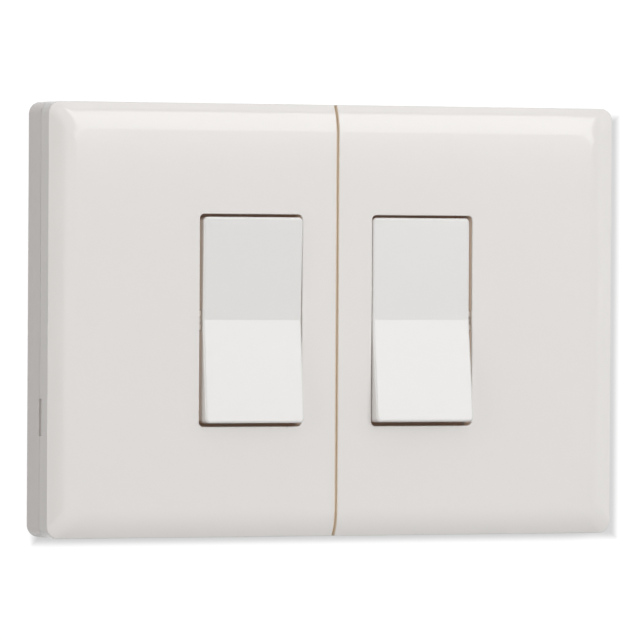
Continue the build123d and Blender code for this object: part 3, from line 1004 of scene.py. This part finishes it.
@dataclass
class ChipCapacitors:
    """A row of ceramic chip capacitors with tinned ends beside the radio board."""

    count: int = 6
    pitch: float = 2.9 * MM
    length: float = 2.0 * MM
    width: float = 1.2 * MM
    height: float = 0.8 * MM
    end_length: float = 0.45 * MM
    end_rise: float = 0.06 * MM
    rounding: float = 0.05 * MM
    out_from_seam: float = 68.6 * MM
    up: float = -11.5 * MM

    def build(self, side: Side, board_front: float, shop: FinishShop) -> None:
        """Build the row on a gang's board and dress it.

        Args:
            side: The gang.
            board_front: How far the board's front stands from the wall.
            shop: The finishes.
        """
        first = self.up - self.pitch * (self.count - 1) / 2
        x = side.sign * self.out_from_seam
        places = [(x, -board_front, first + self.pitch * index) for index in range(self.count)]
        cores = set_down(self._build_core(), f"{side.value}_capacitors", places)
        shop.fit(cores, CERAMIC_TAN)
        ends = set_down(self._build_ends(), f"{side.value}_capacitor_ends", places)
        shop.fit(ends, SHIELD_TIN)

    def _build_core(self) -> bpy.types.Object:
        """Model one capacitor's ceramic core at the origin.

        Returns:
            The core, in object mode.
        """
        between = self.length - 2 * self.end_length
        core = start_plane("capacitor", between, self.width, Turn.TO_FRONT)
        shift((0.0, -self.end_rise, 0.0))
        extrude((0.0, -self.height, 0.0))
        close_mesh()
        soften(core, self.rounding)
        return core

    def _build_ends(self) -> bpy.types.Object:
        """Model one capacitor's two ends at the origin. They stand proud of the core all round.

        Returns:
            The ends, in object mode.
        """
        proud = 2 * self.end_rise
        ends = start_plane("capacitor_end", self.width + proud, self.height + proud, Turn.TO_RIGHT)
        shift((self.length / 2 - self.end_length, -self.height / 2 - self.end_rise, 0.0))
        extrude((self.end_length, 0.0, 0.0))
        close_mesh()
        soften(ends, self.rounding)
        mirror_across(ends)
        return ends


# Sub-assemblies


@dataclass
class WallTray:
    """The tray on the wall that carries both gangs."""

    node: str = "base_tray"
    finish: PlasticFinish = TRAY_WHITE

    def dress(self, shop: FinishShop) -> None:
        """Dress the tray."""
        shop.dress(self.node, self.finish)


@dataclass
class Front:
    """What is seen of one gang from the front: its cover and its rocker."""

    side: Side
    cover: PlasticFinish = COVER_WHITE
    rocker: PlasticFinish = ROCKER_WHITE

    def dress(self, shop: FinishShop) -> None:
        """Dress the cover and the rocker."""
        shop.dress(f"{self.side.value}_cover", self.cover)
        shop.dress(f"{self.side.value}_rocker", self.rocker)


@dataclass
class SwitchModule:
    """The frame behind one rocker with its screws, and the two push switches that it works."""

    side: Side
    board_front: float
    rocker_x: float = 24.275 * MM
    press_z: float = 15.926 * MM
    legs: BentLegs = field(default_factory=lambda: BentLegs(
        per_row=2, pitch=4.5 * MM, start=3.4 * MM, level=1.1 * MM, width=0.7 * MM,
        thickness=0.3 * MM, stub=0.45 * MM, slope=0.2 * MM, foot=0.7 * MM))

    def build(self, shop: FinishShop) -> None:
        """Build the push switches' legs.

        Args:
            shop: The finishes.
        """
        x = self.side.sign * self.rocker_x
        places = [(x, -self.board_front, half.sign * self.press_z) for half in Half]
        legs = self.legs.build(f"{self.side.value}_push_switch_legs", places)
        shop.fit(legs, CONTACT_STEEL)

    def dress(self, shop: FinishShop) -> None:
        """Dress the frame, its screws, the push switches and their plungers.

        Args:
            shop: The finishes.
        """
        shop.dress(f"{self.side.value}_switch_frame", FRAME_TAN)
        shop.dress(f"{self.side.value}_frame_screws", SCREW_STEEL)
        for half in Half:
            shop.dress(f"{self.side.value}_{half.value}_push_switch", SWITCH_BLACK)
            shop.dress(f"{self.side.value}_{half.value}_plunger", PLUNGER_IVORY)


@dataclass
class BoardModule:
    """One gang's circuit board with its controller, capacitors, battery bay and radio."""

    side: Side
    board_front: float
    chip: ControllerChip = field(default_factory=ControllerChip)
    capacitors: ChipCapacitors = field(default_factory=ChipCapacitors)

    def build(self, shop: FinishShop) -> None:
        """Build the small parts on the board."""
        self.chip.build(self.side, self.board_front, shop)
        self.capacitors.build(self.side, self.board_front, shop)

    def dress(self, shop: FinishShop) -> None:
        """Dress the board, the battery bay and the radio.

        Args:
            shop: The finishes.
        """
        finishes: dict[str, Finish] = {
            "circuit_board": BOARD_GREEN,
            "battery_holder": SWITCH_BLACK,
            "coin_cell": CELL_STEEL,
            "battery_clip": CONTACT_STEEL,
            "battery_contact": CONTACT_STEEL,
            "radio_board": BOARD_GREEN,
            "radio_shield": SHIELD_TIN,
            "antenna": ANTENNA_BRASS,
        }
        for piece, finish in finishes.items():
            shop.dress(f"{self.side.value}_{piece}", finish)


# Studio


def direction(azimuth: float, elevation: float) -> Vector:
    """Find a direction from the switch.

    Args:
        azimuth: Its angle to the right of the front, in degrees.
        elevation: Its angle above the level, in degrees.

    Returns:
        The direction, of length 1.
    """
    turn, rise = math.radians(azimuth), math.radians(elevation)
    level = math.cos(rise)
    return Vector((math.sin(turn) * level, -math.cos(turn) * level, math.sin(rise)))


@dataclass
class Backdrop:
    """The wall behind the switch, the floor below it and the sky around it.

    They show white to the camera and in reflections, and throw back only a share of the light. The
    wall glows less in a rectangle behind the plate that reaches just right of it and below it:
    a painted soft shadow of the plate.
    """

    wall_gap: float = 0.2 * MM
    window_overlap: float = 1.0 * MM
    border: float = 1.4
    floor_drop: float = 0.10
    paleness: float = 0.12
    roughness: float = 0.9
    wall_bounce: float = 0.1
    floor_bounce: float = 0.72
    glow: float = 0.95
    # The painted shadow: a weaker glow in this rectangle, fading out at its edges.
    shaded_glow: float = 0.56
    shade_left: float = -79.1 * MM
    shade_right: float = 89.9 * MM
    shade_bottom: float = -59.0 * MM
    shade_top: float = 55.3 * MM
    shade_fade: float = 1.5 * MM
    sky: float = 0.29

    def build(self) -> None:
        """Build the wall, the floor and the sky."""
        self._build_wall()
        self._build_floor()
        self._build_sky()

    def _build_wall(self) -> None:
        """Build the wall, with a window behind the plate that lets light reach its back."""
        low, high = Vector(CAD_BOX[0]), Vector(CAD_BOX[1])
        size = high - low
        wider = 2 * (self.border - self.window_overlap)
        wall = start_plane("wall", size.x + wider, size.z + wider, Turn.TO_FRONT)
        bpy.ops.mesh.inset(thickness=self.border)
        bpy.ops.mesh.delete(type="FACE")
        bpy.ops.mesh.select_all(action="SELECT")
        shift(((low.x + high.x) / 2, high.y + self.wall_gap, (low.z + high.z) / 2))
        bpy.ops.object.mode_set(mode="OBJECT")
        wall.data.materials.append(self._pale("pale_wall", self.wall_bounce, True))
        log.info("put up %s", wall.name)

    def _build_floor(self) -> None:
        """Build the floor below the switch."""
        floor = start_plane("floor", 2 * self.border, 2 * self.border, Turn.UP)
        shift((0.0, 0.0, CAD_BOX[0][2] - self.floor_drop))
        bpy.ops.object.mode_set(mode="OBJECT")
        floor.data.materials.append(self._pale("pale_floor", self.floor_bounce, False))
        log.info("laid %s", floor.name)

    @staticmethod
    def _seen(sketch: NodeSketch) -> Socket:
        """Find the rays that show the stage itself: camera, glossy and transmission rays.

        Args:
            sketch: The tree that asks.

        Returns:
            1 for such a ray and 0 for any other.
        """
        path = sketch.node("ShaderNodeLightPath").outputs
        seen = sketch.math("MAXIMUM", path["Is Camera Ray"], path["Is Glossy Ray"])
        return sketch.math("MAXIMUM", seen, path["Is Transmission Ray"])

    def _shaded_glow(self, sketch: NodeSketch) -> Socket:
        """Make the wall's glow with a painted shadow: less in a rectangle, fading at its edges.

        Args:
            sketch: The wall's tree.

        Returns:
            The glow's strength.
        """
        low = Vector((self.shade_left, 0.0, self.shade_bottom))
        high = Vector((self.shade_right, 0.0, self.shade_top))
        moved = sketch.vector("SUBTRACT", sketch.place(), tuple((low + high) / 2))
        flat = sketch.vector("MULTIPLY", sketch.vector("ABSOLUTE", moved), FLATTEN)
        reach = sketch.vector("SUBTRACT", flat, tuple((high - low) / 2))
        outside = sketch.length(sketch.vector("MAXIMUM", reach, (0.0, 0.0, 0.0)))
        x, _, z = sketch.axes(reach)
        inside = sketch.math("MINIMUM", sketch.math("MAXIMUM", x, z), 0.0)
        distance = sketch.math("ADD", outside, inside)
        return sketch.ramp(distance, -self.shade_fade, self.shade_fade, self.shaded_glow, self.glow)

    def _pale(self, name: str, bounce: float, shaded: bool) -> bpy.types.Material:
        """Make a stage finish: pale where it is seen, dimmer to bounced light, clear from behind.

        Args:
            name: The material's name.
            bounce: The share of light that it throws back on the switch.
            shaded: Whether it glows less around the plate, as a painted shadow.

        Returns:
            The material.
        """
        sketch = MaterialSketch(name)
        shader = sketch.shader
        seen = self._seen(sketch)
        shown = sketch.blend(seen, grey(bounce), grey(self.paleness))
        # The wall's glow carries the painted shadow of the plate.
        glow = self._shaded_glow(sketch) if shaded else self.glow
        sketch.feed(shader.inputs["Base Color"], shown)
        sketch.feed(shader.inputs["Emission Strength"], sketch.math("MULTIPLY", seen, glow))
        shader.inputs["Emission Color"].default_value = grey(1.0)
        shader.inputs["Roughness"].default_value = self.roughness
        shader.inputs["Specular IOR Level"].default_value = 0.0
        behind = sketch.node("ShaderNodeNewGeometry").outputs["Backfacing"]
        clear = sketch.node("ShaderNodeBsdfTransparent").outputs["BSDF"]
        self._show(sketch, behind, shader.outputs["BSDF"], clear, "Material Output")
        return sketch.material

    @staticmethod
    def _show(sketch: NodeSketch, share: Socket, first: Socket, second: Socket,
              output: str) -> None:
        """Show one of two shaders.

        Args:
            sketch: The tree that holds them.
            share: 0 where the first one shows and 1 where the second one does.
            first: The first shader.
            second: The second shader.
            output: The name of the tree's output node.
        """
        choose = sketch.node("ShaderNodeMixShader")
        for socket, item in zip(choose.inputs, (share, first, second)):
            sketch.feed(socket, item)
        sketch.feed(sketch.tree.nodes[output].inputs["Surface"], choose.outputs[0])

    def _build_sky(self) -> None:
        """Make an even sky that is white where it is seen."""
        world = bpy.data.worlds.new("studio")
        bpy.context.scene.world = world
        world.use_nodes = True
        sketch = NodeSketch(world.node_tree)
        lit = sketch.tree.nodes["Background"]
        white = sketch.node("ShaderNodeBackground")
        for background, strength in ((lit, self.sky), (white, 1.0)):
            background.inputs["Color"].default_value = grey(1.0)
            background.inputs["Strength"].default_value = strength
        self._show(sketch, self._seen(sketch), lit.outputs["Background"],
                   white.outputs["Background"], "World Output")


@dataclass
class Softbox:
    """A rectangular studio lamp aimed at the switch. Its power follows its size and radiance."""

    name: str
    azimuth: float
    elevation: float
    distance: float
    width: float
    height: float
    radiance: float
    colour: Triple = (1.0, 1.0, 1.0)
    mirrored: bool = True

    def build(self) -> None:
        """Add the lamp. The camera never sees it, and reflections only where it is mirrored."""
        away = direction(self.azimuth, self.elevation)
        data = bpy.data.lights.new(self.name, "AREA")
        data.shape = "RECTANGLE"
        data.size = self.width
        data.size_y = self.height
        data.color = self.colour
        data.energy = self.radiance * math.pi * self.width * self.height
        lamp = bpy.data.objects.new(self.name, data)
        bpy.context.scene.collection.objects.link(lamp)
        lamp.location = away * self.distance
        lamp.rotation_euler = (-away).to_track_quat("-Z", "Y").to_euler()
        lamp.visible_camera = False
        lamp.visible_glossy = self.mirrored
        log.info("hung %s", self.name)


@dataclass
class DarkCard:
    """A dark card beside the camera that only reflections show, to set off the left bevels."""

    azimuth: float = -30.0
    elevation: float = 0.0
    distance: float = 2.4
    width: float = 1.9
    height: float = 1.6
    shade: float = 0.02

    def build(self) -> None:
        """Add the card. It throws no shadow and takes no light from the switch."""
        sketch = MaterialSketch("dark_card")
        sketch.shader.inputs["Base Color"].default_value = grey(self.shade)
        sketch.shader.inputs["Specular IOR Level"].default_value = 0.0
        card = start_plane("dark_card", self.width, self.height, Turn.UP)
        bpy.ops.object.mode_set(mode="OBJECT")
        card.data.materials.append(sketch.material)
        away = direction(self.azimuth, self.elevation)
        card.location = away * self.distance
        card.rotation_euler = (-away).to_track_quat("Z", "Y").to_euler()
        card.visible_camera = card.visible_diffuse = False
        card.visible_transmission = card.visible_shadow = False
        log.info("hung %s", card.name)


@dataclass
class PhotoCamera:
    """The photograph's viewpoint, found by fitting the plate's edges."""

    azimuth: float = -22.772
    elevation: float = 0.571
    roll: float = 0.332
    distance: float = 1.8314
    focal_pixels: float = 6877.4
    sensor_width: float = 36.0
    clip_end: float = 20.0
    look_depth: float = 7.0 * MM
    aim_right: float = -0.652 * MM
    aim_up: float = 0.035 * MM

    def build(self) -> None:
        """Add the camera and make it the scene's."""
        away = direction(self.azimuth, self.elevation)
        right = Vector((0.0, 0.0, 1.0)).cross(away).normalized()
        up = away.cross(right)
        middle = Vector((0.0, -self.look_depth, 0.0))
        data = bpy.data.cameras.new("photo_camera")
        data.sensor_width = self.sensor_width
        data.lens = self.focal_pixels / IMAGE_PIXELS * self.sensor_width
        data.clip_end = self.clip_end
        camera = bpy.data.objects.new("photo_camera", data)
        bpy.context.scene.collection.objects.link(camera)
        camera.location = middle + away * self.distance
        aim = middle + right * self.aim_right + up * self.aim_up
        look = (aim - camera.location).to_track_quat("-Z", "Y").to_matrix()
        roll = Matrix.Rotation(math.radians(self.roll), 3, "Z")
        camera.rotation_euler = (look @ roll).to_euler()
        bpy.context.scene.camera = camera
        log.info("set %s", camera.name)


@dataclass
class Studio:
    """The backdrop, the dark card, the lamps and the camera."""

    backdrop: Backdrop = field(default_factory=Backdrop)
    card: DarkCard = field(default_factory=DarkCard)
    camera: PhotoCamera = field(default_factory=PhotoCamera)
    lamps: tuple[Softbox, ...] = (
        Softbox("front_softbox", azimuth=22.8, elevation=21.5, distance=1.3, width=0.5,
                height=0.87, radiance=3.0),
        Softbox("key_lamp", azimuth=-3.0, elevation=8.0, distance=3.0, width=0.25,
                height=0.25, radiance=109.0, mirrored=False),
        Softbox("left_softbox", azimuth=-81.0, elevation=8.0, distance=2.2, width=1.4,
                height=1.6, radiance=2.75, colour=(1.0, 0.96, 0.93)),
        Softbox("right_softbox", azimuth=65.0, elevation=15.0, distance=2.2, width=1.6,
                height=1.6, radiance=0.69),
        Softbox("overhead_softbox", azimuth=0.0, elevation=65.0, distance=1.6, width=1.6,
                height=1.0, radiance=0.9),
        Softbox("back_softbox", azimuth=160.0, elevation=25.0, distance=2.0, width=1.2,
                height=1.2, radiance=3.6),
    )

    def build(self) -> None:
        """Build the studio around the switch."""
        self.backdrop.build()
        self.card.build()
        for lamp in self.lamps:
            lamp.build()
        self.camera.build()
        bpy.context.scene.view_settings.view_transform = "Standard"


def main() -> None:
    """Dress the switch, build its small parts and set it in the studio."""
    shop = FinishShop()
    WallTray().dress(shop)
    for side in Side:
        board_front = -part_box(f"{side.value}_circuit_board")[0][1]
        Front(side).dress(shop)
        for module in (SwitchModule(side, board_front), BoardModule(side, board_front)):
            module.build(shop)
            module.dress(shop)
    Studio().build()


if __name__ == "__main__":
    main()
